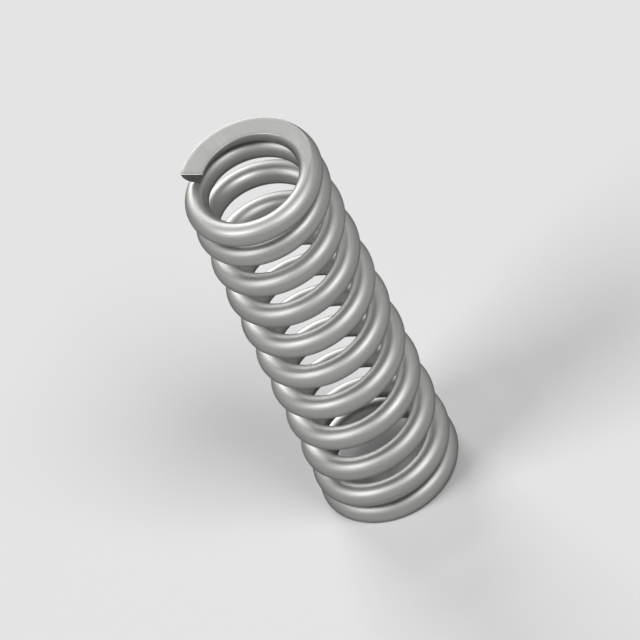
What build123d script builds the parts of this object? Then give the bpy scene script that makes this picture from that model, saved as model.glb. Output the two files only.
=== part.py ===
from build123d import *

import os
from math import cos, pi, sin, tau

# A small compression spring: one round wire, wound to the right into an open coil, closed at both
# ends and ground flat there to be pressed between two level faces. Sizes are in millimetres.
# The axis is +Z. The origin is where it meets the lower seat's plane, and the wire starts at +X.

# Driving dimensions
wire_diameter = 2.0
outside_diameter = 12.2
free_length = 39.3
total_turns = 11.0  # from one cut tip of the wire to the other
closed_turns = 1.0  # at each end, wound almost solid
opening_turns = 1.0  # at each end, over which the pitch widens to the working pitch
closed_gap = 0.09  # daylight between neighbouring closed turns
tip_thickness = 1.0  # what the grinding leaves of the wire at its tip
points_per_turn = 16  # of the wire's centre line

# Sizes that follow
wire_radius = wire_diameter / 2
mean_radius = outside_diameter / 2 - wire_radius
closed_pitch = wire_diameter + closed_gap
tip_height = tip_thickness - wire_radius  # of the wire's centre above the seat, at the tip
wire_rise = free_length - 2 * tip_height
working_turns = total_turns - 2 * closed_turns - opening_turns
extra_pitch = (wire_rise - closed_pitch * total_turns) / working_turns
working_pitch = closed_pitch + extra_pitch


def climb(turns):
    """Height that the wire gains over its first turns from a tip.

    The pitch is the closed pitch, then grows evenly over the opening turns, then stays at the
    working pitch. The climb is the area under that line.
    """
    opening = min(max(turns - closed_turns, 0), opening_turns)
    working = max(turns - closed_turns - opening_turns, 0)
    return closed_pitch * turns + extra_pitch * (opening**2 / opening_turns / 2 + working)


def wire_centre(turn):
    """Point of the wire's centre line, counted in turns from the lower tip."""
    if turn < total_turns / 2:
        height = climb(turn)
    else:
        height = wire_rise - climb(total_turns - turn)
    angle = tau * turn
    return (mean_radius * cos(angle), mean_radius * sin(angle), tip_height + height)


def tip_direction(turn):
    """Direction of the wire at a tip, where it climbs at the closed pitch."""
    angle = tau * turn
    return (-sin(angle), cos(angle), closed_pitch / (tau * mean_radius))


steps = round(total_turns * points_per_turn)
centre_line_points = [wire_centre(total_turns * step / steps) for step in range(steps + 1)]

with BuildPart() as spring:
    # The wire, swept along its coil and cut square at both tips
    with BuildLine() as centre_line:
        Spline(
            *centre_line_points,
            tangents=(tip_direction(0), tip_direction(total_turns)),
            tangent_scalars=(1, 1),
        )
    with BuildSketch(Plane(origin=wire_centre(0), z_dir=tip_direction(0))) as wire_section:
        Circle(wire_radius)
    sweep(path=centre_line.line, is_frenet=True)

    # The ground seats: everything past the two seat planes is taken off, so each end coil
    # thins from its full section to the tip and leaves a crescent to stand on
    split(bisect_by=Plane.XY, keep=Keep.TOP)
    split(bisect_by=Plane.XY.offset(free_length), keep=Keep.BOTTOM)

wire_length = centre_line.wire().length
print(f"working pitch {working_pitch:.3f} mm, wire length {wire_length:.1f} mm")
print(f"volume {spring.part.volume:.1f} mm3, unground {pi * wire_radius**2 * wire_length:.1f} mm3")

spring.part.label = "spring"
os.makedirs("parts", exist_ok=True)
export_step(spring.part, "parts/spring.step")
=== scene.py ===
from math import atan2, cos, pi, radians, sin, tau

import bpy
import numpy as np
from mathutils import Matrix, Vector


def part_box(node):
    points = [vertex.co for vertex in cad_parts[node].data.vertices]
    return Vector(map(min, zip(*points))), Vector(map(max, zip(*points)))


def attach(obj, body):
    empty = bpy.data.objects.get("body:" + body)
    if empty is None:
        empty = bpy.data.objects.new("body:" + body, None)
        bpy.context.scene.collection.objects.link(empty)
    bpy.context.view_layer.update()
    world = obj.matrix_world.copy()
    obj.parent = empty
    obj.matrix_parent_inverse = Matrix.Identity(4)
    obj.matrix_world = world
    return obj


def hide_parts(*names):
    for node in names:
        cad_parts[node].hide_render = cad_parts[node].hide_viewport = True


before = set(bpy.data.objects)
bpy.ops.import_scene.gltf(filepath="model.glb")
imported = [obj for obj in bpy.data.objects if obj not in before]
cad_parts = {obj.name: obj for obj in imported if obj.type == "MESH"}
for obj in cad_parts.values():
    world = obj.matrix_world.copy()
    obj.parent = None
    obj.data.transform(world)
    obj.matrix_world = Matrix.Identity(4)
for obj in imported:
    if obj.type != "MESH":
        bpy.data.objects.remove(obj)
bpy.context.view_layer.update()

# A small compression spring of round steel wire, closed and ground at both ends, on a pale floor.
# Sizes are in metres. The coil's axis is +Z, its lower seat is on the floor, and both cut tips of
# the wire are at +X.

MM = 0.001
cad_low, cad_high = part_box("spring")

# The wire and its coil, as the part's source has them
WIRE_DIAMETER = 2.0 * MM
FREE_LENGTH = cad_high.z - cad_low.z
OUTSIDE_DIAMETER = cad_high.y - cad_low.y
TOTAL_TURNS = 11.0  # from one cut tip of the wire to the other
CLOSED_TURNS = 1.0  # at each end, wound almost solid
OPENING_TURNS = 1.0  # at each end, over which the pitch widens to the working pitch
CLOSED_GAP = 0.09 * MM  # daylight between neighbouring closed turns
TIP_THICKNESS = 1.0 * MM  # what the grinding leaves of the wire at its tip
EDGE_ROUND = 0.05 * MM  # the broken edge round each ground seat and each cut tip

WIRE_RADIUS = WIRE_DIAMETER / 2
MEAN_RADIUS = OUTSIDE_DIAMETER / 2 - WIRE_RADIUS
CLOSED_PITCH = WIRE_DIAMETER + CLOSED_GAP
TIP_HEIGHT = TIP_THICKNESS - WIRE_RADIUS  # of the wire's centre above the seat, at the tip
WIRE_RISE = FREE_LENGTH - 2 * TIP_HEIGHT
WORKING_TURNS = TOTAL_TURNS - 2 * CLOSED_TURNS - OPENING_TURNS
EXTRA_PITCH = (WIRE_RISE - CLOSED_PITCH * TOTAL_TURNS) / WORKING_TURNS
MIDDLE = Vector((0, 0, FREE_LENGTH / 2))

# How finely the surface is divided
STATIONS_PER_TURN = 120
SEAT_STATIONS = 80  # from a tip to where its ground seat runs out
EDGE_STEPS = 5  # over each broken edge
ROUND_STEPS = 48  # round the wire
SEAT_STEPS = 6  # across a ground seat
TIP_RINGS = 5  # from the middle of a cut tip to its edge
MERGE_GRID = 0.0001 * MM  # points that round to the same place on this grid become one

# The flat map of the surface, on which the wire is unrolled into strips
MAP_STRIPS = 8
MAP_FILL = 0.95  # share of each strip's room that it fills
TIP_MAP_OFFSET = 0.2  # of each cut tip from the middle of the map

# The finishes, in the order in which the spring lists them
DRAWN = 0
GROUND = 1
CUT = 2

# The grain of each finish: its size along each axis, and how many finer layers lie on it
DRAWN_LINES = (0.08 * MM, 0.08 * MM, 6 * MM), 3.0
TONE_BANDS = (0.6 * MM, 0.6 * MM, 25 * MM), 2.0
WHEEL_LINES = (0.06 * MM, 4 * MM, 1 * MM), 4.0
CUT_MARKS = (0.07 * MM, 0.5 * MM, 0.6 * MM), 3.0
TORN_GRAIN = (0.12 * MM, 0.12 * MM, 0.12 * MM), 4.0
USUAL_GRAIN = 0.3, 0.7  # between which most of a grain's values lie
WHEEL_CENTRE = (70 * MM, 55 * MM, 0)  # of the wheel that ground the seats

# The range of each finish's grey and of its roughness, and the depth of its bumps
DRAWN_TONES = 0.3, 0.4
DRAWN_ROUGHNESS = 0.42, 0.54
DRAWN_DEPTH = 0.005 * MM
GROUND_TONES = 0.33, 0.39
GROUND_ROUGHNESS = 0.28, 0.38
GROUND_DEPTH = 0.003 * MM
CUT_TONES = 0.1, 0.15
CUT_ROUGHNESS = 0.45, 0.6
CUT_DEPTH = 0.01 * MM
STEEL_TINT = 1, 1.012, 0.975  # red, green and blue of the steel, against its grey
EDGE_TINT = 0.1  # share of its reflection that the steel keeps where it is seen edge on

# The view. Angles are in degrees
CAMERA_AZIMUTH = -146.45
CAMERA_HEIGHT = 47.05
CAMERA_ROLL = -26.09
CAMERA_DISTANCE = 0.3
NEAREST_SEEN = CAMERA_DISTANCE / 100
FARTHEST_SEEN = CAMERA_DISTANCE * 10
PICTURE_WIDTH = 640  # in pixels
PICTURED_RADIUS = 61.84  # in pixels, of the coil's mean radius
SHOWN_WIDTH = PICTURE_WIDTH / PICTURED_RADIUS * MEAN_RADIUS

# The floor and the light
FLOOR_HALF_SIDE = 4.0
FLOOR_GREY = 0.69
FLOOR_ROUGHNESS = 0.9
ROOM_SEEN = 0.75  # brightness of the room as it is seen, where 1 is white
ROOM_LIGHT = 0.1  # brightness with which it lights what is in it
LAMP_DISTANCE = 2.0


# Camera


def direction(azimuth, height):
    """Unit vector from the coil towards a place round it, at a height above the horizon.

    Both are in degrees. Azimuth 0 is on the -Y side and 90 on the +X side.
    """
    a, h = radians(azimuth), radians(height)
    return Vector((sin(a) * cos(h), -cos(a) * cos(h), sin(h)))


def place_camera():
    """A camera without perspective, aimed at the middle of the coil and rolled about its line of
    sight."""
    back = direction(CAMERA_AZIMUTH, CAMERA_HEIGHT)
    level_right = direction(CAMERA_AZIMUTH + 90, 0)
    level_up = back.cross(level_right)
    roll = radians(CAMERA_ROLL)
    right = level_right * cos(roll) + level_up * sin(roll)
    up = level_up * cos(roll) - level_right * sin(roll)
    data = bpy.data.cameras.new("camera")
    data.type = "ORTHO"
    data.ortho_scale = SHOWN_WIDTH
    data.clip_start = NEAREST_SEEN
    data.clip_end = FARTHEST_SEEN
    camera = bpy.data.objects.new("camera", data)
    turned = Matrix((right, up, back)).transposed().to_4x4()
    camera.matrix_world = Matrix.Translation(MIDDLE + back * CAMERA_DISTANCE) @ turned
    bpy.context.scene.collection.objects.link(camera)
    bpy.context.scene.camera = camera


# The wire


def climb(turns):
    """Height gained over the first turns from a tip: the area under the line of the pitch.

    The pitch is the closed pitch, grows evenly over the opening turns, then stays.
    """
    opening = np.clip(turns - CLOSED_TURNS, 0, OPENING_TURNS)
    working = np.maximum(turns - CLOSED_TURNS - OPENING_TURNS, 0)
    return CLOSED_PITCH * turns + EXTRA_PITCH * (opening**2 / OPENING_TURNS / 2 + working)


def coil_height(turns):
    """Height of the wire's centre, the same from either end."""
    from_top = WIRE_RISE - climb(TOTAL_TURNS - turns)
    return TIP_HEIGHT + np.where(turns < TOTAL_TURNS / 2, climb(turns), from_top)


def coil_slope(turns):
    """Angle at which the wire climbs: its tangent is the pitch over the coil's mean girth.

    From either tip the pitch is the closed pitch, grows evenly over the opening turns, then stays.
    """
    from_tip = np.minimum(turns, TOTAL_TURNS - turns)
    opened = np.clip((from_tip - CLOSED_TURNS) / OPENING_TURNS, 0, 1)
    return np.arctan2(CLOSED_PITCH + EXTRA_PITCH * opened, tau * MEAN_RADIUS)


def wire_stations():
    """Places along the wire, in turns, and how far the section is drawn in at each.

    At a tip the places follow a quarter circle, s = e(1 - cos a) along the wire and
    e(1 - sin a) inwards, which breaks the edge. Along the seat they follow a sine, so that they
    crowd together where the seat runs out. Between the seats they are even. The turn at which
    the seat runs out, and the length of wire in a closed turn, are given as well.
    """
    tip_slope = atan2(CLOSED_PITCH, tau * MEAN_RADIUS)
    turn_length = tau * MEAN_RADIUS / cos(tip_slope)
    seat_end = (WIRE_RADIUS * cos(tip_slope) - TIP_HEIGHT) / CLOSED_PITCH
    quarter = np.linspace(0, tau / 4, EDGE_STEPS + 1)
    edge = EDGE_ROUND * (1 - np.cos(quarter)) / turn_length
    drawn_in = EDGE_ROUND * (1 - np.sin(quarter))
    seat = edge[-1] + (seat_end - edge[-1]) * np.sin(np.linspace(0, tau / 4, SEAT_STATIONS + 1))
    end_turns = np.concatenate([edge, seat[1:]])
    end_drawn_in = np.concatenate([drawn_in, np.zeros(SEAT_STATIONS)])
    between = round((TOTAL_TURNS - 2 * seat_end) * STATIONS_PER_TURN)
    middle = np.linspace(seat_end, TOTAL_TURNS - seat_end, between + 1)[1:-1]
    turns = np.concatenate([end_turns, middle, TOTAL_TURNS - end_turns[::-1]])
    drawn_in = np.concatenate([end_drawn_in, np.zeros(len(middle)), end_drawn_in[::-1]])
    return turns, drawn_in, seat_end, turn_length


def wire_outlines(turns, drawn_in, seat_end):
    """Outline of the wire at each station, as (outward, upward) from the wire's centre.

    A circle, cut by a chord at the ground seat, with both corners rounded: an arc of the wire's
    radius, a small arc, the chord, and a small arc again. The small arcs touch the circle and
    the chord from inside. The chord lies below the centre at the lower end and above it at the
    upper end, and where there is no seat it and the small arcs shrink to the point from which
    the round part starts, which wanders half way round the wire between the seats.
    """
    height = coil_height(turns)
    lower = turns < TOTAL_TURNS / 2
    to_seat = np.where(lower, height, FREE_LENGTH - height) / np.cos(coil_slope(turns))
    way = np.clip((turns - seat_end) / (TOTAL_TURNS - 2 * seat_end), 0, 1)
    chord_side = (way * 2 - 1) * tau / 4
    radius = (WIRE_RADIUS - drawn_in)[:, None]
    corner = (EDGE_ROUND - drawn_in)[:, None]
    chord = (np.minimum(to_seat, WIRE_RADIUS) - drawn_in)[:, None]
    reach = np.sqrt(np.maximum((radius - corner) ** 2 - (chord - corner) ** 2, 0))
    touch = np.arctan2(reach, chord - corner)

    share = np.linspace(0, 1, ROUND_STEPS + 1)[None, :-1]
    arc = touch + (tau - 2 * touch) * share
    round_part = radius * np.cos(arc), radius * np.sin(arc)
    share = np.linspace(0, 1, EDGE_STEPS + 1)[None, :-1]
    bend = -touch * (1 - share)
    first = chord - corner + corner * np.cos(bend), -reach + corner * np.sin(bend)
    across = np.linspace(-1, 1, SEAT_STEPS + 1)[None, :-1]
    flat = chord + 0 * across, reach * across
    bend = touch * share
    last = chord - corner + corner * np.cos(bend), reach + corner * np.sin(bend)
    toward_seat = np.concatenate([round_part[0], first[0], flat[0], last[0]], 1)
    sideways = np.concatenate([round_part[1], first[1], flat[1], last[1]], 1)
    c, s = np.cos(chord_side)[:, None], np.sin(chord_side)[:, None]
    return toward_seat * c - sideways * s, toward_seat * s + sideways * c


def close_tips(outlines):
    """One coordinate of the outlines, with rings added that close both cut tips.

    The rings are the end outline, shrunk in even steps towards its own middle.
    """
    shrunk = np.linspace(0, 1, TIP_RINGS + 1)[:-1, None]
    first_middle = outlines[0].mean()
    last_middle = outlines[-1].mean()
    first_rings = first_middle + shrunk * (outlines[0] - first_middle)
    last_rings = last_middle + shrunk * (outlines[-1] - last_middle)
    return np.concatenate([first_rings, outlines, last_rings[::-1]])


def coil_points(turns, outward, upward):
    """Points of the room for outlines set across the wire at each turn count.

    Outward is away from the coil's axis, and upward is across the wire, tilted with its slope.
    """
    angle = tau * turns
    slope = coil_slope(turns)
    c, s = np.cos(angle)[:, None], np.sin(angle)[:, None]
    lean = np.sin(slope)[:, None]
    rise = np.cos(slope)[:, None]
    out = MEAN_RADIUS + outward
    x = out * c + upward * s * lean
    y = out * s - upward * c * lean
    z = coil_height(turns)[:, None] + upward * rise
    return np.stack([x, y, z], 2)


def surface_faces(rows, columns):
    """One face for each step along the wire, from row to row, and round it, from column to column.

    Each face has the rows and columns of its corners, in the order in which they go round it
    seen from outside, and its finish: cut in the tips' rings, ground across the seats and over
    their broken edges, and drawn elsewhere.
    """
    row, column = np.divmod(np.arange((rows - 1) * columns), columns)
    corner_rows = row[:, None] + np.array([0, 1, 1, 0])
    corner_columns = column[:, None] + np.array([0, 0, 1, 1])
    in_rings = (row < TIP_RINGS) | (row >= rows - 1 - TIP_RINGS)
    on_seat = column >= ROUND_STEPS
    finish = np.where(in_rings, CUT, np.where(on_seat, GROUND, DRAWN))
    return corner_rows, corner_columns, finish


def strip_map(turns, outward, upward, corner_rows, corner_columns, on_tip):
    """Flat map of the surface for each face corner, in a square of side 1.

    The wire is unrolled into strips that lie one above the other: a corner's place along its
    strip is its turn count, and its place across is the length of outline up to it. The cut
    tips, which have no length along the wire, lie flat above the strips.
    """
    steps = np.hypot(np.roll(outward, -1, 1) - outward, np.roll(upward, -1, 1) - upward)
    across = np.concatenate([np.zeros((len(turns), 1)), np.cumsum(steps, 1)], 1)
    across /= tau * WIRE_RADIUS
    turns_in_strip = TOTAL_TURNS / MAP_STRIPS
    first_turn = turns[corner_rows[:, :1]]
    strip = np.minimum(first_turn // turns_in_strip, MAP_STRIPS - 1)
    strip_u = (turns[corner_rows] / turns_in_strip - strip) * MAP_FILL
    strip_v = (strip + across[corner_rows, corner_columns] * MAP_FILL) / MAP_STRIPS * MAP_FILL

    scale = MAP_FILL / (turns_in_strip * tau * MEAN_RADIUS)
    side = np.where(first_turn < TOTAL_TURNS / 2, -1, 1)
    outline_columns = corner_columns % outward.shape[1]
    tip_u = 0.5 + side * TIP_MAP_OFFSET + outward[corner_rows, outline_columns] * scale
    tip_v = (1 + MAP_FILL) / 2 + upward[corner_rows, outline_columns] * scale
    u = np.where(on_tip[:, None], tip_u, strip_u)
    v = np.where(on_tip[:, None], tip_v, strip_v)
    return np.stack([u, v], 2)


def merge_points(points, corners):
    """Points that round to the same place on a fine grid become one.

    Gives which points are kept, each face's corners counted among these, and which of the
    corners stay: one that has become the same point as the next corner of its face does not.
    """
    on_grid = np.round(points / MERGE_GRID).astype(np.int64)
    _, kept, merged = np.unique(on_grid, axis=0, return_index=True, return_inverse=True)
    corners = merged.reshape(-1)[corners]
    return kept, corners, corners != np.roll(corners, -1, axis=1)


def make_spring(materials):
    """The whole wire as one closed surface: outlines carried along the coil, closed at its tips.

    Each point keeps its place on the wire, as outward, upward and along, for the drawn finish.
    """
    turns, drawn_in, seat_end, turn_length = wire_stations()
    outward, upward = wire_outlines(turns, drawn_in, seat_end)
    outward, upward = close_tips(outward), close_tips(upward)
    turns = np.pad(turns, TIP_RINGS, mode="edge")
    points = coil_points(turns, outward, upward).reshape(-1, 3)
    along = np.broadcast_to((turns * turn_length)[:, None], outward.shape)
    wire_place = np.stack([outward, upward, along], 2).reshape(-1, 3)

    rows, columns = outward.shape
    corner_rows, corner_columns, finish = surface_faces(rows, columns)
    flat_map = strip_map(turns, outward, upward, corner_rows, corner_columns, finish == CUT)
    corners = corner_rows * columns + corner_columns % columns
    kept, corners, stays = merge_points(points, corners)

    # Faces that have shrunk to a line or a point are left out
    real = stays.sum(1) >= 3
    corners, stays, finish, flat_map = corners[real], stays[real], finish[real], flat_map[real]
    corner_counts = stays.sum(1)
    first_corners = np.cumsum(corner_counts) - corner_counts

    mesh = bpy.data.meshes.new("spring_wire")
    mesh.vertices.add(len(kept))
    mesh.vertices.foreach_set("co", points[kept].astype(np.float32).ravel())
    mesh.loops.add(int(corner_counts.sum()))
    mesh.loops.foreach_set("vertex_index", corners[stays].astype(np.int32))
    mesh.polygons.add(len(corners))
    mesh.polygons.foreach_set("loop_start", first_corners.astype(np.int32))
    mesh.polygons.foreach_set("material_index", finish.astype(np.int32))
    mesh.polygons.foreach_set("use_smooth", np.ones(len(corners), bool))
    place = mesh.attributes.new("wire_place", "FLOAT_VECTOR", "POINT")
    place.data.foreach_set("vector", wire_place[kept].astype(np.float32).ravel())
    unrolled = mesh.uv_layers.new(name="OFBake")
    unrolled.uv.foreach_set("vector", flat_map[stays].astype(np.float32).ravel())
    mesh.update(calc_edges=True)
    for material in materials:
        mesh.materials.append(material)
    spring = bpy.data.objects.new("spring_wire", mesh)
    bpy.context.scene.collection.objects.link(spring)
    spring.modifiers.new("even_shading", "WEIGHTED_NORMAL")
    return spring


# Finishes


def add(tree, kind, inputs=None, **settings):
    """A new node. Each input is given a value, or another node's output to take it from."""
    node = tree.nodes.new(kind)
    for name, value in settings.items():
        setattr(node, name, value)
    for name, value in (inputs or {}).items():
        if isinstance(value, bpy.types.NodeSocket):
            tree.links.new(value, node.inputs[name])
        else:
            node.inputs[name].default_value = value
    return node


def grain(tree, place, sizes, layers):
    """Soft random values whose grains have the given size along each axis."""
    inputs = {"Vector": place, "Scale": [1 / size for size in sizes]}
    scaled = add(tree, "ShaderNodeMapping", inputs).outputs["Vector"]
    inputs = {"Vector": scaled, "Scale": 1.0, "Detail": layers}
    return add(tree, "ShaderNodeTexNoise", inputs).outputs[0]


def blend(tree, first, second):
    """The mean of two grains."""
    both = add(tree, "ShaderNodeMath", {0: first, 1: second}, operation="ADD").outputs[0]
    return add(tree, "ShaderNodeMath", {0: both, 1: 0.5}, operation="MULTIPLY").outputs[0]


def spread(tree, value, low, high):
    """A grain's value spread evenly from low to high."""
    inputs = {"Value": value, "To Min": low, "To Max": high}
    inputs["From Min"], inputs["From Max"] = USUAL_GRAIN
    return add(tree, "ShaderNodeMapRange", inputs).outputs["Result"]


def steel_tones(tree, value, dark, light):
    """The faintly green grey of bare steel, from dark to light by a grain's value."""
    ramp = add(tree, "ShaderNodeValToRGB", {"Fac": value})
    for element, position, tone in zip(ramp.color_ramp.elements, USUAL_GRAIN, (dark, light)):
        element.position = position
        element.color = [tone * part for part in STEEL_TINT] + [1]
    return ramp.outputs["Color"]


def bumps(tree, height, depth):
    """A bumped normal, with the depth between the grain's lowest and highest places."""
    inputs = {"Height": height, "Distance": depth, "Strength": 1.0}
    return add(tree, "ShaderNodeBump", inputs).outputs["Normal"]


def bare_steel(name):
    """Uncoated steel, which is uneven and so reflects less where it is seen edge on."""
    material = bpy.data.materials.new(name)
    material.use_nodes = True
    tree = material.node_tree
    shader = tree.nodes["Principled BSDF"]
    shader.inputs["Metallic"].default_value = 1.0
    shader.inputs["Specular Tint"].default_value = (EDGE_TINT, EDGE_TINT, EDGE_TINT, 1)
    return material, tree, shader


def give_finish(tree, shader, tone, roughness, normal):
    """Sets a finish's tone, roughness and bumps on its steel."""
    tree.links.new(tone, shader.inputs["Base Color"])
    tree.links.new(roughness, shader.inputs["Roughness"])
    tree.links.new(normal, shader.inputs["Normal"])


def drawn_steel():
    """Wire as the die leaves it: satin, with fine lines along it and slow changes of tone.

    The patterns follow the wire's own place: across it in the first two numbers, along it in
    the third.
    """
    material, tree, shader = bare_steel("drawn_wire")
    place = add(tree, "ShaderNodeAttribute", attribute_name="wire_place").outputs["Vector"]
    lines = grain(tree, place, *DRAWN_LINES)
    bands = grain(tree, place, *TONE_BANDS)
    tone = steel_tones(tree, blend(tree, lines, bands), *DRAWN_TONES)
    roughness = spread(tree, lines, *DRAWN_ROUGHNESS)
    give_finish(tree, shader, tone, roughness, bumps(tree, lines, DRAWN_DEPTH))
    return material


def ground_steel():
    """A seat as the grinding wheel leaves it, with fine arcs about the wheel's centre.

    The first number of the pattern's place is the level distance from that centre, and the
    second is the way along Y, over which a line comes and goes.
    """
    material, tree, shader = bare_steel("ground_seat")
    place = add(tree, "ShaderNodeTexCoord").outputs["Object"]
    to_wheel = {0: place, 1: WHEEL_CENTRE}
    from_centre = add(tree, "ShaderNodeVectorMath", to_wheel, operation="SUBTRACT").outputs[0]
    parts = add(tree, "ShaderNodeSeparateXYZ", {0: from_centre}).outputs
    level = add(tree, "ShaderNodeCombineXYZ", {"X": parts["X"], "Y": parts["Y"]}).outputs[0]
    distance = add(tree, "ShaderNodeVectorMath", {0: level}, operation="LENGTH").outputs["Value"]
    on_arc = add(tree, "ShaderNodeCombineXYZ", {"X": distance, "Y": parts["Y"]}).outputs[0]
    lines = grain(tree, on_arc, *WHEEL_LINES)
    tone = steel_tones(tree, lines, *GROUND_TONES)
    roughness = spread(tree, lines, *GROUND_ROUGHNESS)
    give_finish(tree, shader, tone, roughness, bumps(tree, lines, GROUND_DEPTH))
    return material


def cut_steel():
    """A cut tip: duller and darker, with short marks down the face and a torn grain."""
    material, tree, shader = bare_steel("cut_tip")
    place = add(tree, "ShaderNodeTexCoord").outputs["Object"]
    marks = grain(tree, place, *CUT_MARKS)
    torn = grain(tree, place, *TORN_GRAIN)
    both = blend(tree, marks, torn)
    tone = steel_tones(tree, both, *CUT_TONES)
    roughness = spread(tree, torn, *CUT_ROUGHNESS)
    give_finish(tree, shader, tone, roughness, bumps(tree, both, CUT_DEPTH))
    return material


# Floor and light


def make_floor():
    """A pale, matt floor at the lower seat."""
    side = FLOOR_HALF_SIDE
    corners = [(-side, -side, 0), (side, -side, 0), (side, side, 0), (-side, side, 0)]
    mesh = bpy.data.meshes.new("floor")
    mesh.from_pydata(corners, [], [(0, 1, 2, 3)])
    floor = bpy.data.objects.new("floor", mesh)
    bpy.context.scene.collection.objects.link(floor)
    material = bpy.data.materials.new("pale_floor")
    material.use_nodes = True
    shader = material.node_tree.nodes["Principled BSDF"]
    shader.inputs["Base Color"].default_value = (FLOOR_GREY, FLOOR_GREY, FLOOR_GREY, 1)
    shader.inputs["Roughness"].default_value = FLOOR_ROUGHNESS
    shader.inputs["Specular IOR Level"].default_value = 0.0
    mesh.materials.append(material)


def make_lamp(name, azimuth, height, size, brightness):
    """A square soft lamp aimed at the middle of the coil, mirrored in the steel but not itself
    in any picture.

    A lamp of even brightness b and area A gives off pi b A watts.
    """
    towards = direction(azimuth, height)
    data = bpy.data.lights.new(name, "AREA")
    data.shape = "SQUARE"
    data.size = size
    data.energy = pi * brightness * size**2
    lamp = bpy.data.objects.new(name, data)
    lamp.location = MIDDLE + towards * LAMP_DISTANCE
    lamp.rotation_mode = "QUATERNION"
    lamp.rotation_quaternion = towards.to_track_quat("Z", "Y")
    lamp.visible_camera = False
    bpy.context.scene.collection.objects.link(lamp)


def either(tree, first, second):
    """1 for a ray of one of two kinds, otherwise 0."""
    return add(tree, "ShaderNodeMath", {0: first, 1: second}, operation="MAXIMUM").outputs[0]


def make_room():
    """A pale room, even all round, as it is seen and as the steel mirrors it. It gives matt
    surfaces only a little light, so that the lamps' soft shadows stay."""
    world = bpy.data.worlds.new("room")
    world.use_nodes = True
    tree = world.node_tree
    background = tree.nodes["Background"]
    background.inputs["Color"].default_value = (1, 1, 1, 1)
    path = add(tree, "ShaderNodeLightPath").outputs
    mirrored = either(tree, path["Is Glossy Ray"], path["Is Transmission Ray"])
    seen = either(tree, path["Is Camera Ray"], mirrored)
    # The node's share is its input 0, and the two numbers that it goes between are 2 and 3
    brightness = add(tree, "ShaderNodeMix", {0: seen, 2: ROOM_LIGHT, 3: ROOM_SEEN}).outputs[0]
    tree.links.new(brightness, background.inputs["Strength"])
    bpy.context.scene.world = world


# The scene

place_camera()
make_floor()
make_room()
make_lamp("right_lamp", azimuth=CAMERA_AZIMUTH + 40, height=61, size=0.8, brightness=10)
make_lamp("left_lamp", azimuth=CAMERA_AZIMUTH - 80, height=54, size=0.8, brightness=9.5)
make_lamp("back_lamp", azimuth=CAMERA_AZIMUTH - 175, height=17, size=1.1, brightness=9)
bpy.context.scene.view_settings.view_transform = "Standard"

spring = make_spring([drawn_steel(), ground_steel(), cut_steel()])
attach(spring, "root")
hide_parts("spring")
